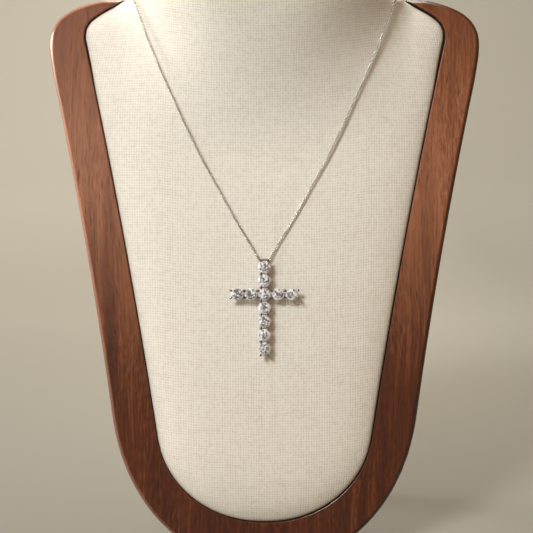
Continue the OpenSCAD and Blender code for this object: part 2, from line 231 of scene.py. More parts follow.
class Finish:
    """A material made of nodes."""

    def __init__(self, name):
        self.material = bpy.data.materials.new(name)
        self.material.use_nodes = True
        self.tree = self.material.node_tree
        self.tree.nodes.clear()

    def node(self, kind, settings=(), **sockets):
        """Adds a node: its settings first, then the values or links of its sockets.
        A socket is named as in Blender with _ for spaces, or by s and its number."""
        made = self.tree.nodes.new("ShaderNode" + kind)
        for key, value in dict(settings).items():
            if key == "stops":
                ramp = made.color_ramp
                while len(ramp.elements) < len(value):
                    ramp.elements.new(1)
                for element, (at, colour) in zip(ramp.elements, value):
                    element.position, element.color = at, (*colour, 1)
            else:
                setattr(made, key, value)
        for key, value in sockets.items():
            numbered = key[0] == "s" and key[1:].isdigit()
            socket = made.inputs[int(key[1:]) if numbered else key.replace("_", " ")]
            if isinstance(value, Value):
                self.tree.links.new(value.socket, socket)
            elif socket.type == "RGBA" and len(value) == 3:
                socket.default_value = (*value, 1)
            else:
                socket.default_value = value
        return Value(self, made)

    def math(self, operation, a, b=0.0):
        """Adds a Math node, with one value or two."""
        return self.node("Math", {"operation": operation}, s0=a, s1=b)

    def vector(self, x, y, z=0.0):
        """Joins three values to a place."""
        return self.node("CombineXYZ", X=x, Y=y, Z=z)

    def noise(self, place, scale=1.0, detail=2.0, roughness=0.5):
        """Smooth noise from 0 to 1, with scale waves to a unit of the place."""
        return self.node("TexNoise", Vector=place, Scale=scale, Detail=detail,
                         Roughness=roughness)

    def range(self, value, low, high, to_low=0.0, to_high=1.0):
        """Carries the span from low to high over to another span, and stops at its ends."""
        return self.node("MapRange", {"clamp": True}, Value=value, From_Min=low,
                         From_Max=high, To_Min=to_low, To_Max=to_high)

    def colours(self, share, a, b):
        """Mixes two colours by the share of the second."""
        return self.node("Mix", {"data_type": "RGBA"}, s0=share, s6=a, s7=b).out(2)

    def bump(self, height, distance, strength):
        """A normal that follows a height, which is counted in distance."""
        return self.node("Bump", Height=height, Distance=distance, Strength=strength)

    def tones(self, tone, stops):
        """A colour that runs through stops of (tone, colour)."""
        return self.node("ValToRGB", {"stops": stops}, Fac=tone)

    def surface(self, **sockets):
        """Closes the finish with a Principled surface and gives its material."""
        shader = self.node("BsdfPrincipled", **sockets)
        output = self.tree.nodes.new("ShaderNodeOutputMaterial")
        self.tree.links.new(shader.socket, output.inputs["Surface"])
        return self.material


# The wood's grain, in waves a millimetre across and up the board
RIBBON, STREAK, WAVY, FLECK, PORE = (
    (0.2, 0.005), (1.3, 0.03), (0.35, 0.12), (1.1, 0.26), (3.2, 0.14))
SWAY, FIGURE = (0.02, 0.02, 0.008), (0.03, 0.03, 0.012)
# Two heights up the board and the tone at each. The shoulders' is taken from the chest's
CHEST_TONE, SHOULDER_TONE = (84, 168, 0.15, 0.74), (190, 240, 0, 0.28)
# How strong the grain, the pores, the painted side shade and, at two heights, the painted edge
# highlight are
GRAIN_SHARE, PORE_SHARE, PAINTED_SIDE_SHADE_SHARE, PAINTED_EDGE_HIGHLIGHT_SHARE = 0.32, 0.75, 0.65, (80, 190, 0.25, 0.6)
# The linen's yarns, in threads: the span of half their width, and how they rise and sway
YARN_W, YARN_SWELL, YARN_LIFT, YARN_SWAY = (0.4, 0.57), 0.55, 0.4, 0.3
# The stones' painted facets a millimetre, and how far apart each stone's pattern is
FACETS, APART, ASIDE, DEEPER = 1.45, 37, 9, 5
# Where the stage's painted shade falls, in metres, and what share of its shade is left or lost
NEAR, RIGHT, NEAR_SHARE, RIGHT_LOSS = (0.45, -0.05), (0.05, 0.2), 0.62, 0.2

# Linear colours. The tones run from the darkest to the lightest
WOOD_TONES = ((0.0, (0.046, 0.0088, 0.003)), (0.25, (0.098, 0.022, 0.0071)),
              (0.6, (0.21, 0.067, 0.025)), (1.0, (0.33, 0.12, 0.054)))
# The pores' colour, the painted shade on the board's right side and the painted highlight on its
# left front edge
PORE_SHADE, PAINTED_SIDE_SHADE, PAINTED_EDGE_HIGHLIGHT = (
    (0.035, 0.0105, 0.005), (0.02, 0.007, 0.003), (0.5, 0.26, 0.18))
LINEN_TONES = ((0.0, (0.27, 0.21, 0.135)), (0.42, (0.58, 0.525, 0.41)),
               (1.0, (0.83, 0.805, 0.72)))
SILVER_SHADE, CHAIN_SHADE = (0.74, 0.73, 0.74), (0.68, 0.66, 0.61)
# The stones' colours are painted reflections: white sparkle, and grey and dark facets
PAINTED_SPARKLE_WHITE, PAINTED_REFLECTION_GREY, PAINTED_REFLECTION_DARK, PAINTED_RIM_REFLECTION = (
    (1.0, 1.0, 1.0), (0.5, 0.49, 0.54), (0.17, 0.17, 0.185), (0.4, 0.39, 0.43))
SWEEP_SHADE, SHADOW = (0.385, 0.365, 0.305), (0, 0, 0)


def wood_finish():
    """Satin red-brown mahogany with upright ribbon grain, flecks and open pores. It is
    lighter about the shoulders and darkens towards the foot. Its side has painted shade on
    the right, and on the left its front edge has a painted highlight."""
    f = Finish("satin_mahogany")
    place = f.node("TexCoord").out("Object")
    place = f.node("Mapping", Vector=place, Rotation=(LEAN, 0, 0), Scale=(1 / MM,) * 3)
    sway = f.noise(f.node("Mapping", Vector=place, Scale=SWAY))
    bend, drift = 14, 40
    part = f.node("SeparateXYZ", Vector=place)
    right, back, up = part.out("X"), part.out("Y"), part.out("Z")
    right = right + sway * bend

    def lines(across, upward, **settings):
        """Noise drawn out up the board, by its waves a millimetre across and up."""
        return f.noise(f.vector(right * across, back * across, up * upward), **settings)

    ribbon = lines(*RIBBON, roughness=0.6)
    streak = lines(*STREAK, detail=4.0, roughness=0.65)
    wavy = lines(*WAVY, detail=1.0)
    pores = f.range(lines(*PORE, detail=1.0), 0.6, 0.72)
    fleck = f.noise(f.vector(right * FLECK[0] + wavy * 2.2, back, up * FLECK[1]), detail=1.5)
    figured = f.range(f.noise(f.node("Mapping", Vector=place, Scale=FIGURE,
                                     Location=(3.3, 0, 1.7))), 0.42, 0.62)
    grain = f.range(ribbon, 0.3, 0.7, -0.45, 0.45) + f.range(streak, 0.3, 0.7, -0.65, 0.65)
    grain = grain + f.range(fleck, 0.35, 0.65, -0.5, 0.5) * figured
    height = up + ribbon * drift
    tone = f.range(height, *CHEST_TONE) - f.range(height, *SHOULDER_TONE)
    colour = f.tones(tone + grain * GRAIN_SHARE, WOOD_TONES)
    colour = f.colours(pores * PORE_SHARE, colour, PORE_SHADE)
    face = BOARD_T / 2
    side = f.range(f.math("ABSOLUTE", back), face - 0.6, face - 0.1, 1, 0)
    # Painted shade: the board's side is painted darker on the right, away from the light
    shaded_side = f.range(right, -30, 30)
    colour = f.colours(side * shaded_side * PAINTED_SIDE_SHADE_SHARE, colour, PAINTED_SIDE_SHADE)
    # Painted highlight: the left front edge is painted pale, more so higher up, where it catches
    # the light
    front_edge = f.range(back, 1.6 - face, 3 - face, 1, 0) * side
    painted_edge_highlight = front_edge * (1 - shaded_side) * f.range(up, *PAINTED_EDGE_HIGHLIGHT_SHARE)
    colour = f.colours(painted_edge_highlight, colour, PAINTED_EDGE_HIGHLIGHT)
    return f.surface(
        Base_Color=colour, Roughness=f.range(grain, -1, 1, 0.31, 0.24),
        Normal=f.bump(grain * 0.25 - pores, 0.03 * MM, 0.35), Specular_IOR_Level=0.62)


def linen_finish():
    """Unbleached plain-weave linen: crossing warp and weft threads with slubs, and painted
    shade in the gaps between them. Its UV map counts the threads."""
    f = Finish("natural_linen")
    threads = f.node("UVMap", {"uv_map": "threads"})
    waver = f.noise(f.node("Mapping", Vector=threads, Scale=(0.22, 0.22, 1)), detail=1.0)
    part = f.node("SeparateXYZ", Vector=threads)
    above_zero = 1000
    across = part.out("X") + above_zero + (waver - 0.5) * YARN_SWAY
    upward = part.out("Y") + above_zero + (waver.out("Color") - 0.5) * YARN_SWAY

    def yarn(side, length, seed):
        """How round the yarn stands at a place, 1 or -1 by its number, and its slubs.
        Side is the way across it and length the way along it, in threads."""
        number = f.math("FLOOR", side)
        middle = side - number - 0.5
        slub = f.noise(f.vector(number * 3.71, length * 0.09, seed), detail=2.0,
                       roughness=0.6)
        width = f.range(slub, 0.25, 0.75, *YARN_W)
        odd = f.math("MODULO", number, 2.0) * 2 - 1
        swell = f.math("SQRT", f.math("MAXIMUM", 1 - (middle / width) ** 2, 0.0))
        return swell, odd, slub

    warp, warp_odd, warp_slub = yarn(across, upward, 3.0)
    weft, weft_odd, weft_slub = yarn(upward, across, 9.0)
    over = f.math("SINE", upward * math.pi) * warp_odd
    under = f.math("SINE", across * math.pi) * weft_odd
    warp_height = warp * YARN_SWELL + over * YARN_LIFT
    weft_height = weft * YARN_SWELL - under * YARN_LIFT
    height = f.math("MAXIMUM", warp_height, weft_height)
    warp_on_top = f.math("GREATER_THAN", warp_height, weft_height)
    slub = warp_slub * warp_on_top + weft_slub * (1 - warp_on_top)
    fibre = f.noise(f.node("Mapping", Vector=threads, Scale=(3.1, 3.1, 1)), detail=2.0)
    # Painted shade: the yarns are painted darker down into the gaps between them
    light = f.range(height, 0.0, 0.7)
    number = f.vector(f.math("FLOOR", across + 0.5), f.math("FLOOR", upward + 0.5))
    crossing = f.node("TexWhiteNoise", {"noise_dimensions": "2D"}, Vector=number)
    tone = light * (crossing * 0.2 + 0.68) + (slub - 0.5) * 0.3 + (fibre - 0.5) * 0.3 + 0.2
    return f.surface(
        Base_Color=f.tones(tone, LINEN_TONES), Roughness=0.92, Specular_IOR_Level=0.25,
        Sheen_Weight=0.15, Sheen_Roughness=0.5,
        Normal=f.bump(height + fibre * 0.25, 0.18 * MM, 0.75))


def pendant_place(f, place, unit):
    """Turns a place on the object into one on the pendant, counted in a unit."""
    return f.node("Mapping", {"vector_type": "TEXTURE"}, Vector=place,
                  Location=ON_PENDANT.translation, Rotation=(math.pi / 2 - LEAN, 0, 0),
                  Scale=(unit,) * 3)


def metal_finish(name, shade, rough, painted_tip_reflection_share=1.0):
    """Polished white metal with fine wear. The prongs' tips are painted darker, to a share
    of its shade: a painted dark reflection.
    """
    f = Finish(name)
    place = f.node("TexCoord").out("Object")
    wear = f.noise(place, scale=2600.0, detail=3.0)  # waves a metre
    cloud = f.noise(place, scale=420.0)
    colour = f.colours(f.range(cloud, 0.35, 0.65), shade, [0.93 * c for c in shade])
    # Painted reflection: the prongs' tips are painted darker, as if they mirrored dark
    # surroundings
    if painted_tip_reflection_share < 1:
        height = f.node("SeparateXYZ", Vector=pendant_place(f, place, MM)).out("Z")
        tip = f.range(height, GIRDLE_OUT + 0.3, GIRDLE_OUT + 0.8)
        colour = f.colours(tip, colour, [painted_tip_reflection_share * c for c in shade])
    return f.surface(
        Base_Color=colour, Metallic=1.0, Roughness=f.range(wear, 0.3, 0.7, rough, rough * 1.7),
        Normal=f.bump(wear, 0.004 * MM, 0.25))


def stone_finish():
    """Clear colourless cut stone whose colour is painted reflection: white, with grey and dark
    facets inside a bright rim, and a faint painted glow. Each stone is a cell at the pitch of
    the setting, with painted facets of its own."""
    f = Finish("clear_stone")
    place = f.node("TexCoord").out("Object")
    cell = f.node("SeparateXYZ", Vector=pendant_place(f, place, MM * PITCH))
    column, row = f.math("ROUND", cell.out("X")), f.math("ROUND", cell.out("Y"))
    right, up = (cell.out("X") - column) * PITCH, (cell.out("Y") - row) * PITCH
    away = f.math("SQRT", right * right + up * up)
    chance = f.node("TexWhiteNoise", {"noise_dimensions": "2D"}, Vector=f.vector(column, row))
    facet = f.node("TexVoronoi", {"voronoi_dimensions": "3D"}, Scale=1.0, Vector=f.vector(
        right * FACETS + chance * APART, up * FACETS + column * ASIDE,
        row * DEEPER + away * 0.3))
    part = f.node("SeparateXYZ", Vector=facet.out("Color"))
    uneven = f.noise(place, scale=950.0, detail=1.0)
    # Painted reflections: the facets inside each stone are painted grey or dark on white
    inside = f.range(away, STONE_R - 0.6, STONE_R - 0.15, 1, 0.25)
    dark = inside * f.range(part.out("X"), 0.55, 0.62)
    grey = inside * f.range(part.out("Y"), 0.5, 0.62)
    colour = f.colours(dark, f.colours(grey, PAINTED_SPARKLE_WHITE, PAINTED_REFLECTION_GREY), PAINTED_REFLECTION_DARK)
    # Painted reflection: uneven grey flecks round each stone's rim
    edge = f.range(away, STONE_R - 0.55, STONE_R - 0.3)
    colour = f.colours(edge * f.range(uneven, 0.52, 0.6) * 0.5, colour, PAINTED_RIM_REFLECTION)
    # Painted light: the stone glows faintly in its own colour, though it is no lamp
    return f.surface(Base_Color=colour, Roughness=f.range(uneven, 0.4, 0.8, 0.0, 0.03),
                     IOR=2.417, Transmission_Weight=0.1, Emission_Color=colour,
                     Emission_Strength=0.06)


def stage_finish():
    """Matt and pale, with painted shade: it is darker near the camera and on the right of the
    object.
    """
    f = Finish("pale_sweep")
    place = f.node("TexCoord").out("Object")
    cloud = f.noise(place, scale=3.0)
    ground = f.node("SeparateXYZ", Vector=place)
    near = f.range(ground.out("Y"), *NEAR)
    right = f.range(ground.out("X"), *RIGHT)
    colour = f.colours(cloud, SWEEP_SHADE, [0.97 * c for c in SWEEP_SHADE])
    # Painted shade: the floor is painted darker near the camera and on the right
    colour = f.colours(near, colour, [NEAR_SHARE * c for c in SWEEP_SHADE])
    colour = f.colours(right * RIGHT_LOSS, colour, SHADOW)
    return f.surface(Base_Color=colour, Roughness=0.9, Specular_IOR_Level=0.2)


WOOD = wood_finish()
LINEN = linen_finish()
SILVER = metal_finish("polished_white_metal", SILVER_SHADE, 0.08, painted_tip_reflection_share=0.42)
CHAIN_METAL = metal_finish("bright_chain_metal", CHAIN_SHADE, 0.14)
STONE = stone_finish()


# Linen bust
def linen_side(up):
    """Half of the linen's width up to the shoulders: its sides are slightly hollow."""
    s = (up - LINEN_LOW_H) / (SHOULDER_H - LINEN_LOW_H)
    t = max(0.0, min(1.0, s))
    return mix(LINEN_LOW_W, LINEN_W, min(1.0, s)) / 2 - 4 * HOLLOW * t * (1 - t)


def linen_reach(up):
    """Half of the linen's width, before its foot is rounded off."""
    if up <= SHOULDER_H:
        return linen_side(up)
    x = (up - SHOULDER_H) / (NECK_H - SHOULDER_H) / NECK_TURN
    return mix(NECK_W, LINEN_W, 1 / (1 + x ** NECK_STEEP)) / 2


def low_share(up):
    """How far down the rounded foot a height is, from 0 to 1."""
    return max(0.0, (LINEN_LOW_H - up) / (LINEN_LOW_H - LINEN_FOOT_H))


def linen_half(up):
    """Half of the linen's width, with its foot rounded off."""
    return linen_reach(up) * max(0.0, 1 - low_share(up) ** LINEN_SQUARE) ** (1 / LINEN_SQUARE)


def linen_share(right, up):
    """How far out a place is: 0 in the middle, 1 on the outline."""
    return ((abs(right) / linen_reach(up)) ** LINEN_SQUARE
            + low_share(up) ** LINEN_SQUARE) ** (1 / LINEN_SQUARE)


def linen_out(right, up):
    """How far the linen stands out: a low crown, and the neck that rises out of it."""
    share = min(1.0, linen_share(right, up))
    start, end = RISE_LOW * SHOULDER_H, RISE_HIGH * NECK_H
    rise = NECK_OUT * ease((up - start) / (end - start))
    half = min(linen_reach(up) + NECK_FADE, RISE_W * LINEN_W / 2)
    high = (up - SHOULDER_H) / (NECK_H - SHOULDER_H)
    square = mix(2, 3, ease(high * BLEND + SQUARE_FROM))
    fullness = mix(2, 0.6, ease(high * BLEND + FULL_FROM))
    shape = max(0.0, 1 - (abs(right) / half) ** square) ** fullness
    return CROWN_H * max(0.0, 1 - share ** CROWN_SQUARE) ** 0.5 - EDGE_SUNK + rise * shape


def linen_rows():
    """Heights of the skin's rows, close together where the outline turns."""
    low = [LINEN_LOW_H - (LINEN_LOW_H - LINEN_FOOT_H) * squared(a, LINEN_SQUARE)[1]
           for a in FOOT_ANGLES]
    chest = [mix(LINEN_LOW_H, SHOULDER_H, k / CHEST_ROWS) for k in range(CHEST_ROWS + 1)]
    neck = [mix(SHOULDER_H, NECK_H - NECK_ROUND, k / NECK_ROWS)
            for k in range(1, NECK_ROWS + 1)]
    return low + chest + neck


def thread_tables():
    """How long the cloth is across and up, over the skin, for its yarns. The tables
    have a step of a millimetre."""
    far, low, high = 76, 8, 259
    rights = np.arange(0, far, 1.0)
    ups = np.arange(low, high, 1.0)
    out = np.array([[linen_out(r, u) for u in ups] for r in rights])
    up_way = np.cumsum(np.hypot(1, np.diff(out, axis=1, prepend=out[:, :1])), axis=1)
    across = np.cumsum(np.hypot(1, np.diff(out, axis=0, prepend=out[:1])), axis=0) - 1

    def look(table, right, up):
        """Reads a table at a place between its entries."""
        i = min(abs(right), far - 1.01)
        j = min(max(up - low, 0), high - low - 1.01)
        a, b = int(i), int(j)
        s, t = i - a, j - b
        return (table[a, b] * (1 - s) * (1 - t) + table[a + 1, b] * s * (1 - t)
                + table[a, b + 1] * (1 - s) * t + table[a + 1, b + 1] * s * t)

    return lambda r, u: (math.copysign(look(across, r, u), r), look(up_way, r, u))


def linen_bust():
    """The padded form: its skin, its rim and flat back, and its threads as a UV map."""
    rows = linen_rows()
    bm = bmesh.new()
    bmesh.ops.create_grid(bm, x_segments=COLUMNS, y_segments=len(rows) - 1, size=1)
    for vert in bm.verts:
        row = round((vert.co.y + 1) / 2 * (len(rows) - 1))
        up = rows[row]
        right = linen_half(up) * math.sin(math.radians(90 * vert.co.x))
        vert.co = (right, up, linen_out(right, up))

    # Its padding fills the clearance in the board but for a fine line
    rim_from, step = 0.9, 0.1
    for vert in bm.verts:
        right, up, _ = vert.co
        fade = (ease((linen_share(right, up) - rim_from) / (1 - rim_from))
                * (1 - ease((up - PLUMP_TOP) / PLUMP_FADE)))
        slope = Vector((linen_share(right + step, up) - linen_share(right - step, up),
                        linen_share(right, up + step) - linen_share(right, up - step), 0))
        vert.co += slope.normalized() * PLUMP * fade

    def rim(edges, place):
        """Draws the rim on to a new place and gives its new edges."""
        made = bmesh.ops.extrude_edge_only(bm, edges=edges)["geom"]
        for vert in verts_of(made):
            vert.co = place(vert.co)
        return [e for e in edges_of(made) if e.is_boundary]

    # The neck's top turns over with a rounded edge
    top = [e for e in bm.edges if e.is_boundary
           and all(v.co.y > NECK_H - NECK_ROUND - step for v in e.verts)]
    middle = 18  # the middle of the neck's depth
    turns = [math.radians(a) for a in (0, 30, 60, 90)]
    for before, turn in zip(turns, turns[1:]):
        inward = NECK_ROUND * (math.cos(before) - math.cos(turn))
        rise = NECK_H - NECK_ROUND + NECK_ROUND * math.sin(turn)

        def rounded(co, inward=inward, rise=rise):
            """A place one step further over the rounded edge."""
            away = Vector((co.x, 0, co.z - middle))
            away -= away.normalized() * inward
            return Vector((away.x, rise, away.z + middle))
        top = rim(top, rounded)

    edge = [e for e in bm.edges if e.is_boundary]
    edge = rim(edge, lambda co: Vector((co.x, co.y, min(co.z, LINEN_BACK + FORM_ROUND))))
    edge = rim(edge, lambda co: Vector((co.x, co.y, LINEN_BACK + FORM_EDGE)))
    edge = rim(edge, lambda co: Vector((co.x - math.copysign(min(FORM_IN, abs(co.x)), co.x),
                                        co.y, LINEN_BACK)))
    bmesh.ops.contextual_create(bm, geom=edge)
    bmesh.ops.remove_doubles(bm, verts=bm.verts, dist=MERGE)
    bmesh.ops.recalc_face_normals(bm, faces=bm.faces)

    lengths = thread_tables()
    layer = bm.loops.layers.uv.new("threads")
    for face in bm.faces:
        flat = face.normal.z < -0.7  # it faces back
        for loop in face.loops:
            right, up, out = loop.vert.co
            if flat:
                across, upward = right, up
            else:
                across, upward = lengths(right, up)
                deep = max(0.0, linen_out(right, min(up, NECK_H)) - out)
                if up > NECK_H - step:
                    upward += deep
                else:
                    across += math.copysign(deep, right)
            loop[layer].uv = (across / THREAD, upward / THREAD)
    bm.transform(ON_BOARD)
    made = piece("linen_form", bm, LINEN, "display", "linen_bust", smooth=50)


# Wooden board
def board_side(up):
    """Half of the board's width, before its corners are rounded off."""
    bend_h = BOARD_H - BEND_DROP
    taper = (BOARD_W - BEND_IN - BOARD_LOW_W) / 2 / (bend_h - BOARD_LOW_H)
    s = max(0.0, min(1.0, (up - BOARD_LOW_H) / (bend_h - BOARD_LOW_H)))
    return BOARD_LOW_W / 2 + taper * (up - BOARD_LOW_H) - 4 * HOLLOW * s * (1 - s)


def board_edge():
    """Right half of the board's outline, from the foot to the end of its flat top."""
    bend_h = BOARD_H - BEND_DROP
    edge = []
    for a in range(90, 0, -2):
        wide, high = squared(a, FOOT_SQUARE)
        up = BOARD_LOW_H - (BOARD_LOW_H + FOOT_CUT) * high
        edge.append((board_side(up) * wide, up))
    steps = 40
    edge += [(board_side(up), up) for up in
             (mix(BOARD_LOW_H, bend_h, k / steps) for k in range(steps + 1))]
    last = math.degrees(math.asin((BEND_DROP / ARC_H) ** (TOP_SQUARE / 2)))
    for k in range(1, steps + 1):
        wide, high = squared(last * k / steps, TOP_SQUARE)
        up = bend_h + ARC_H * high
        edge.append((board_side(up) * wide, up))
    return edge


def pocket_edge():
    """Right half of the pocket's outline: the linen's, with its clearance."""
    edge = [(0, LINEN_FOOT_H)] + [(linen_half(up), up) for up in linen_rows()[::2]]
    edge.append((linen_half(NECK_H), NECK_H + POCKET_D))
    grown = []
    for k, (right, up) in enumerate(edge):
        a = Vector(edge[max(k - 1, 0)])
        b = Vector(edge[min(k + 1, len(edge) - 1)])
        way = (b - a).normalized()
        grown.append((right + way.y * LINEN_GAP if k else 0, up - way.x * LINEN_GAP))
    return grown


def slab(edge, low, high):
    """A slab over an outline that is given for its right side only."""
    both = edge + [(-right, up) for right, up in reversed(edge) if right > 1e-6]
    bm = bmesh.new()
    bmesh.ops.create_circle(bm, cap_ends=True, radius=1, segments=len(both))
    bm.verts.ensure_lookup_table()
    for vert, (right, up) in zip(bm.verts, both):
        vert.co = (right, up, low)
    raised = bmesh.ops.extrude_face_region(bm, geom=bm.faces[:])["geom"]
    bmesh.ops.translate(bm, vec=(0, 0, high - low), verts=verts_of(raised))
    bmesh.ops.recalc_face_normals(bm, faces=bm.faces)
    return bm


def wooden_board():
    """The board with softened edges: its pocket is cut out, and its foot sits flat."""
    bm = slab(board_edge(), -BOARD_T, 0)
    rims = [e for e in bm.edges if e.calc_face_angle(0) > CORNER
            and abs(e.verts[0].co.z - e.verts[1].co.z) < MERGE]
    bmesh.ops.bevel(bm, geom=rims, offset=BOARD_ROUND, segments=6, profile=BOARD_PROFILE,
                    affect="EDGES", material=-1)
    whole = bpy.data.objects.new("whole_board", pattern(bm))
    pocket = slab(pocket_edge(), -POCKET_D, POCKET_D)
    cutter = bpy.data.objects.new("pocket_cutter", pattern(pocket))
    for thing in (whole, cutter):
        bpy.context.scene.collection.objects.link(thing)
    cut = whole.modifiers.new("pocket", "BOOLEAN")
    cut.operation, cut.solver, cut.object = "DIFFERENCE", "EXACT", cutter
    bpy.context.view_layer.update()
    ready = whole.evaluated_get(bpy.context.evaluated_depsgraph_get())
    bm = bmesh.new()
    bm.from_mesh(ready.to_mesh())
    for thing in (whole, cutter):
        bpy.data.objects.remove(thing)
    bmesh.ops.remove_doubles(bm, verts=bm.verts, dist=MERGE)
    inner = [e for e in bm.edges if e.calc_face_angle(0) > CORNER
             and all(abs(v.co.z) < 1e-3 for v in e.verts)]
    bmesh.ops.bevel(bm, geom=inner, offset=POCKET_ROUND, segments=3, profile=0.5,
                    affect="EDGES", material=-1)
    bm.transform(ON_BOARD)
    bmesh.ops.bisect_plane(bm, geom=bm.verts[:] + bm.edges[:] + bm.faces[:], dist=1e-7,
                           plane_co=(0, 0, 0), plane_no=(0, 0, 1), clear_inner=True)
    bmesh.ops.holes_fill(bm, edges=[e for e in bm.edges if e.is_boundary])
    bmesh.ops.recalc_face_normals(bm, faces=bm.faces)
    made = piece("wooden_board", bm, WOOD, "display", "wood_board", smooth=40)
    broad = 1e-4  # square metres: the flat faces, which stay flat
    for face in made.data.polygons:
        if face.area > broad:
            face.use_smooth = False


def back_prop():
    """The strut behind the board, a tapering board with softened edges."""
    def behind(up):
        """Y and Z of a place just behind the board."""
        out = BOARD_T / 2 + SEAT_GAP
        return up * S + out * C, up * C - out * S

    top = behind(PROP_H)
    drop = (PROP_OUT - top[0], -top[1])
    slant = math.atan2(drop[0], -drop[1])
    low = behind(PROP_H - PROP_T / math.sin(slant + LEAN))
    front = (low[0] + drop[0] / -drop[1] * low[1], 0)
    bm = bmesh.new()
    bmesh.ops.create_cube(bm, size=2)
    for vert in bm.verts:
        upper, behind_side = vert.co.z > 0, vert.co.y > 0
        if upper:
            y, z = top if behind_side else low
        else:
            y, z = (PROP_OUT, 0) if behind_side else front
        half = mix(PROP_W, PROP_TOP_W, z / top[1]) / 2
        vert.co = (math.copysign(half, vert.co.x), y, z)
    bmesh.ops.bevel(bm, geom=bm.edges[:], offset=PROP_ROUND, segments=4, profile=0.5,
                    affect="EDGES", material=-1)
    bm.transform(Matrix.Scale(MM, 4))
    piece("back_prop_board", bm, WOOD, "display", "back_prop", smooth=40)


# Chain and clasp
def smooth_route():
    """The whole chain's middle line, closely spaced, its corners eased."""
    half = [Vector(p) for p in CHAIN_ROUTE]
    whole = [Vector((-p.x, p.y, p.z)) for p in reversed(half[1:])] + half
    dense, step, reach, rounds = [], 0.15, 7, 2
    for a, b in zip(whole, whole[1:]):
        count = max(2, int((b - a).length / step))
        dense += [a.lerp(b, k / count) for k in range(count)]
    dense.append(whole[-1])
    line = np.array(dense)
    for _ in range(rounds):
        padded = np.vstack([line[:1]] * reach + [line] + [line[-1:]] * reach)
        line = np.mean([padded[k:k + len(line)] for k in range(2 * reach + 1)], axis=0)
    return line


def torus(radius, wire_r, sides, steps, turn=0.0):
    """A ring of round wire about Z. Its first side is turned by an angle in degrees."""
    around = [math.radians(360 / sides * k + turn) for k in range(sides)]
    return turned([(radius + wire_r * math.cos(a), wire_r * math.sin(a)) for a in around],
                  steps, closed=True)


def cable_chain():
    """Oval links through one another along the route, each a quarter turn on. The chain
    lies a little twisted, as a worn one does."""
    ring = torus((LINK_W - WIRE_D) / 2, WIRE_D / 2, WIRE_SIDES, LINK_SIDES, turn=30)
    play = 0.02
    stretch = (LINK_PITCH + 2 * WIRE_D - LINK_W) / 2 + play
    for vert in ring.vertices:
        vert.co.x += math.copysign(stretch, vert.co.x)
    line = smooth_route()
    way = np.concatenate([[0], np.cumsum(np.linalg.norm(np.diff(line, axis=0), axis=1))])
    count = int(way[-1] / LINK_PITCH)
    start = (way[-1] - count * LINK_PITCH) / 2

    def at(s):
        """The place on the middle line at a length along it."""
        return Vector([float(np.interp(s, way, line[:, k])) for k in range(3)])

    bm = bmesh.new()
    side = Vector((0, 1, 0))
    for k in range(count):
        s = start + (k + 0.5) * LINK_PITCH
        ahead = (at(s + 0.5) - at(s - 0.5)).normalized()
        side = (side - ahead * side.dot(ahead)).normalized()
        twist = sum(turn * math.sin(s * rate) for turn, rate in TWISTS)
        roll = math.radians(twist + 90 * (k % 2))
        across = Matrix.Rotation(roll, 3, ahead) @ side
        up = ahead.cross(across)
        place = Matrix((ahead, across, up)).transposed().to_4x4()
        place.translation = at(s)
        stamp(bm, ring, place)
    bm.transform(ON_BOARD)
    piece("cable_chain", bm, CHAIN_METAL, "display", "chain", smooth=80)


def barrel_clasp():
    """A plain screw barrel with an eye at each end, in which the chain's last links sit."""
    half, r = CLASP_L / 2, CLASP_D / 2
    end = [(share * r, z - half) for share, z in CLASP_END]
    seam = [(share * r, z) for share, z in CLASP_SEAM]
    barrel = turned(end + seam + [(away, -z) for away, z in reversed(end)], 32)
    eye = torus(EYE_R, EYE_WIRE_R, 8, 16)
    bm = bmesh.new()
    stamp(bm, barrel, Matrix.Rotation(math.pi / 2, 4, "Y"))
    for way in (-1, 1):
        stamp(bm, eye, Matrix.Translation((way * (half + EYE_OUT), 0, 0))
              @ Matrix.Rotation(math.pi / 2, 4, "X"))
    bm.transform(ON_BOARD @ Matrix.Translation((0, CHAIN_ROUTE[-1][1], CHAIN_ROUTE[-1][2])))
    piece("barrel_clasp", bm, SILVER, "display", "clasp", smooth=35)


# Cross pendant
ARMS = ((0, 2), (180, 4), (90, 2), (-90, 2))  # each arm's turn in degrees and its stones
SOFT = 0.1  # the chamfer on rails and bail
OVERLAP = 0.1  # how deep soldered parts reach into one another
SLIDE = 0.15  # how far down the stone's crown a claw sits
PIN_R, TIE_W, TIE_PAST = 0.36, 0.7, 0.3  # pins join the two rails, and ties the posts
SPINE_FROM = 1.2  # how far from the middle an arm's spine begins
CLAW_FOOT = 0.3  # how far below the girdle an outer post begins
HEAD_H, HEAD_IN, HEAD_TOP = 0.25, 0.12, 0.05  # how a prong's head is rounded


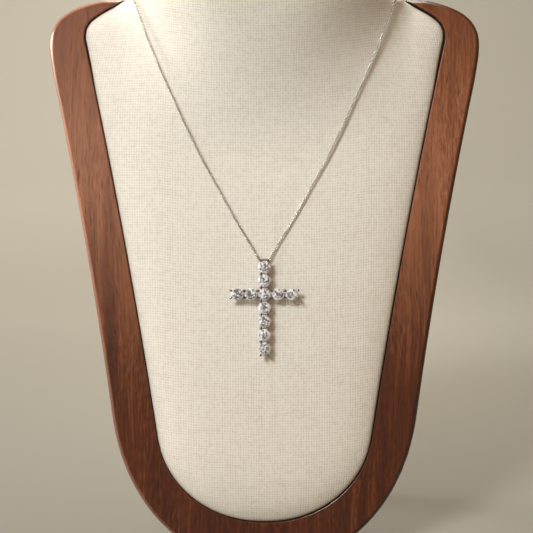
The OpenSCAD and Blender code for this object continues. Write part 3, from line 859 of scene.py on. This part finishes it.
def cross_setting():
    """Open basket of two rails, shared prongs with domed tips, and a hidden bail. It is
    built with the middle stone's axis as Z and the upper arm along Y."""
    reach = STONE_R + POST_R + 2.5 * STONE_GAP
    post_x = math.sqrt(reach ** 2 - (PITCH / 2) ** 2)
    post_angle = math.atan2(post_x, PITCH / 2)
    slope = math.atan2(CROWN, STONE_R - TABLE_D / 2)
    claw_reach = STONE_R - SLIDE * math.cos(slope) + (CLAW_R + STONE_GAP) * math.sin(slope)
    claw_z = (GIRDLE_OUT + GIRDLE_T / 2 + SLIDE * math.sin(slope)
              + (CLAW_R + STONE_GAP) * math.cos(slope))

    def sleeve(inner, outer, low, high, steps):
        """A ring of rectangular section with its corners chamfered."""
        return turned([(inner, low + SOFT), (inner + SOFT, low), (outer - SOFT, low),
                       (outer, low + SOFT), (outer, high - SOFT), (outer - SOFT, high),
                       (inner + SOFT, high), (inner, high - SOFT)], steps, closed=True)

    def ring(radius):
        """A rail's ring round a stone."""
        return sleeve(radius - RAIL_W / 2, radius + RAIL_W / 2, 0, RAIL_T, 36)

    def domed(length, radius):
        """A short round bar along Z with domed ends."""
        arc = [math.radians(15 * k) for k in range(7)]
        half = length / 2
        return turned([(radius * math.sin(a), -half - radius * math.cos(a)) for a in arc]
                      + [(radius * math.cos(a), half + radius * math.sin(a)) for a in arc], 16)

    def rod(radius, length):
        """A plain round bar up along Z."""
        return turned([(0, 0), (radius, 0), (radius, length), (0, length)], 16)

    def prong(height, foot_in, foot_up):
        """A round post with its foot chamfered and its head rounded."""
        return turned([(0, 0), (POST_R - foot_in, 0), (POST_R, foot_up),
                       (POST_R, height - HEAD_H), (POST_R - HEAD_IN, height - HEAD_TOP),
                       (0, height)], 20)

    front_ring, back_ring = ring(RAIL_R), ring(BACK_R)
    top = claw_z + CLAW_R / 2
    post = prong(top - RAIL_Z + OVERLAP, 0.08, 0.12)
    pin = rod(PIN_R, RAIL_Z + RAIL_T - BACK_Z - 2 * OVERLAP)
    claw_y = claw_reach * math.cos(post_angle)
    shared = domed(PITCH - 2 * claw_y, CLAW_R)
    single = domed(reach - claw_reach, CLAW_R)
    tie = block((2 * post_x + TIE_PAST, TIE_W, RAIL_T), SOFT)
    foot = GIRDLE_OUT - CLAW_FOOT
    short_post = prong(top - foot, 0.1, 0.15)
    leg_from = Vector((0, RAIL_R, RAIL_Z + RAIL_T / 2))
    leg_to = Vector((0, reach, foot + POST_R))
    leg = rod(LEG_R, (leg_to - leg_from).length)

    bm = bmesh.new()
    stamp(bm, front_ring, Matrix.Translation((0, 0, RAIL_Z)))
    stamp(bm, back_ring, Matrix.Translation((0, 0, BACK_Z)))
    for turn, count in ARMS:
        arm = Matrix.Rotation(math.radians(turn), 4, "Z")
        for z, end in ((RAIL_Z, count * PITCH), (BACK_Z, BAIL_Y if turn == 0 else count * PITCH)):
            spine = block((RAIL_W, end - SPINE_FROM, RAIL_T), SOFT)
            stamp(bm, spine,
                  arm @ Matrix.Translation((0, (SPINE_FROM + end) / 2, z + RAIL_T / 2)))
        for k in range(1, count + 1):
            at = k * PITCH
            stamp(bm, front_ring, arm @ Matrix.Translation((0, at, RAIL_Z)))
            if turn or k < count:
                stamp(bm, back_ring, arm @ Matrix.Translation((0, at, BACK_Z)))
            between = arm @ Matrix.Translation((0, at - PITCH / 2, 0))
            stamp(bm, tie, between @ Matrix.Translation((0, 0, RAIL_Z + RAIL_T / 2)))
            stamp(bm, pin, between @ Matrix.Translation((0, 0, BACK_Z + OVERLAP)))
            for side in (-1, 1):
                stamp(bm, post,
                      between @ Matrix.Translation((side * post_x, 0, RAIL_Z - OVERLAP)))
                stamp(bm, shared, between
                      @ Matrix.Translation((side * claw_reach * math.sin(post_angle), 0, claw_z))
                      @ Matrix.Rotation(math.pi / 2, 4, "X"))
        for side in (-1, 1):
            end = (arm @ Matrix.Translation((0, count * PITCH, 0))
                   @ Matrix.Rotation(side * post_angle, 4, "Z"))
            stamp(bm, leg, end @ along(leg_from, leg_to))
            stamp(bm, short_post, end @ Matrix.Translation((0, reach, foot)))
            stamp(bm, single, end @ Matrix.Translation((0, (reach + claw_reach) / 2, claw_z))
                  @ Matrix.Rotation(math.pi / 2, 4, "X"))
    bail = sleeve(BORE_D / 2, BAIL_D / 2, -BAIL_L / 2, BAIL_L / 2, 40)
    stamp(bm, bail, Matrix.Translation((0, BAIL_Y, 0)) @ Matrix.Rotation(math.pi / 2, 4, "Y"))
    bm.transform(ON_PENDANT)
    piece("pronged_setting", bm, SILVER, "pendant", "cross_setting",
          smooth=35)


# Stage and light
def stage():
    """A pale floor that sweeps up into a backdrop, far behind the object."""
    front, bend, radius, height, half = -3.0, 1.3, 0.7, 1.9, 3.2
    bm = bmesh.new()
    foot = [bm.verts.new((x, front, 0)) for x in (-half, half)]
    edges = [bm.edges.new(foot)]
    made = bmesh.ops.extrude_edge_only(bm, edges=edges)["geom"]
    verts = verts_of(made)
    bmesh.ops.translate(bm, vec=(0, bend - front, 0), verts=verts)
    last = bmesh.ops.spin(bm, geom=verts + edges_of(made), cent=(0, bend, radius),
                          axis=(1, 0, 0), angle=math.pi / 2, steps=24, use_merge=False,
                          use_duplicate=False)["geom_last"]
    made = bmesh.ops.extrude_edge_only(bm, edges=edges_of(last))["geom"]
    bmesh.ops.translate(bm, vec=(0, 0, height), verts=verts_of(made))
    bmesh.ops.remove_doubles(bm, verts=bm.verts, dist=1e-5)
    mesh = bpy.data.meshes.new("sweep")
    bm.to_mesh(mesh)
    bm.free()
    mesh.shade_smooth()
    sweep = bpy.data.objects.new("sweep", mesh)
    bpy.context.scene.collection.objects.link(sweep)
    mesh.materials.append(stage_finish())


def softbox(name, place, target, size, power, colour, spread=180):
    """A rectangular light that shines from a place at a target, and isn't seen."""
    light = bpy.data.lights.new(name, "AREA")
    light.shape, light.size, light.size_y = "RECTANGLE", size[0], size[1]
    light.energy, light.color, light.spread = power, colour, math.radians(spread)
    made = bpy.data.objects.new(name, light)
    made.location = place
    made.rotation_euler = (Vector(target) - Vector(place)).to_track_quat("-Z", "Y").to_euler()
    made.visible_camera = False
    bpy.context.scene.collection.objects.link(made)


def camera():
    """Looks square on to the board, from as far off as the photo's perspective asks."""
    data = bpy.data.cameras.new("camera")
    data.lens, data.sensor_width = 100, 36  # millimetres
    data.clip_start, data.clip_end = 0.02, 20
    made = bpy.data.objects.new("camera", data)
    made.location = ON_BOARD @ Vector(VIEWPOINT)
    made.rotation_euler = (math.pi / 2 - LEAN, 0, 0)
    bpy.context.scene.collection.objects.link(made)
    bpy.context.scene.camera = made


camera()
linen_bust()
wooden_board()
back_prop()
cable_chain()
barrel_clasp()
cross_setting()
for name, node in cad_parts.items():
    if name.startswith("stone_"):
        for slot in node.material_slots:
            slot.material = STONE
stage()

# Soft light from the upper left, low side lights on the board's left edge and the neck,
# two small lights beside the camera that shine back from the wood and the stones, and
# lights for the backdrop and for the floor behind on the right. Each has its place,
# target, size in metres, watts, colour and, where it is narrow, its spread in degrees
CENTRE = (0, 0.01, 0.12)
COOL, PALE_BLUE, PALE_ROSE = (0.95, 0.97, 1), (0.92, 0.97, 1), (1, 0.93, 0.88)
ROSE, WARM, WARMER = (1, 0.76, 0.62), (1, 0.98, 0.95), (1, 0.97, 0.94)
GLINT_SIZE = (0.16, 0.12)
GLINT_LEFT = ON_BOARD @ Vector((-200, 225, 1000))
GLINT_RIGHT = ON_BOARD @ Vector((190, 190, 1000))
LIGHTS = (
    ("key_softbox", (-0.87, -1.40, 1.36), CENTRE, (0.5, 0.5), 33.3, COOL),
    ("rim_softbox", (-1.0, 0.16, 0.36), (-0.085, 0, 0.18), (0.4, 0.6), 0.8, PALE_ROSE, 28),
    ("neck_softbox", (-0.72, -0.7, 0.15), (-0.01, 0, 0.24), (0.2, 0.2), 0.034, PALE_BLUE, 20),
    ("left_glint", GLINT_LEFT, CENTRE, GLINT_SIZE, 0.37, ROSE),
    ("right_glint", GLINT_RIGHT, CENTRE, GLINT_SIZE, 0.15, ROSE),
    ("backdrop_softbox", (-0.05, 1.2, 1.5), (0, 1.3, 0), (0.7, 0.5), 26, WARM),
    ("floor_softbox", (0.2, 0.3, 1.1), (0.17, 0.22, 0), (0.3, 0.3), 0.34, WARMER, 45),
)
for light in LIGHTS:
    softbox(*light)
world = bpy.data.worlds.new("studio")
bpy.context.scene.world = world
world.use_nodes = True
AIR, AIR_STRENGTH = (1, 0.64, 0.31, 1), 0.27
air = world.node_tree.nodes["Background"]
air.inputs["Color"].default_value = AIR
air.inputs["Strength"].default_value = AIR_STRENGTH
bpy.context.scene.view_settings.view_transform = "Standard"
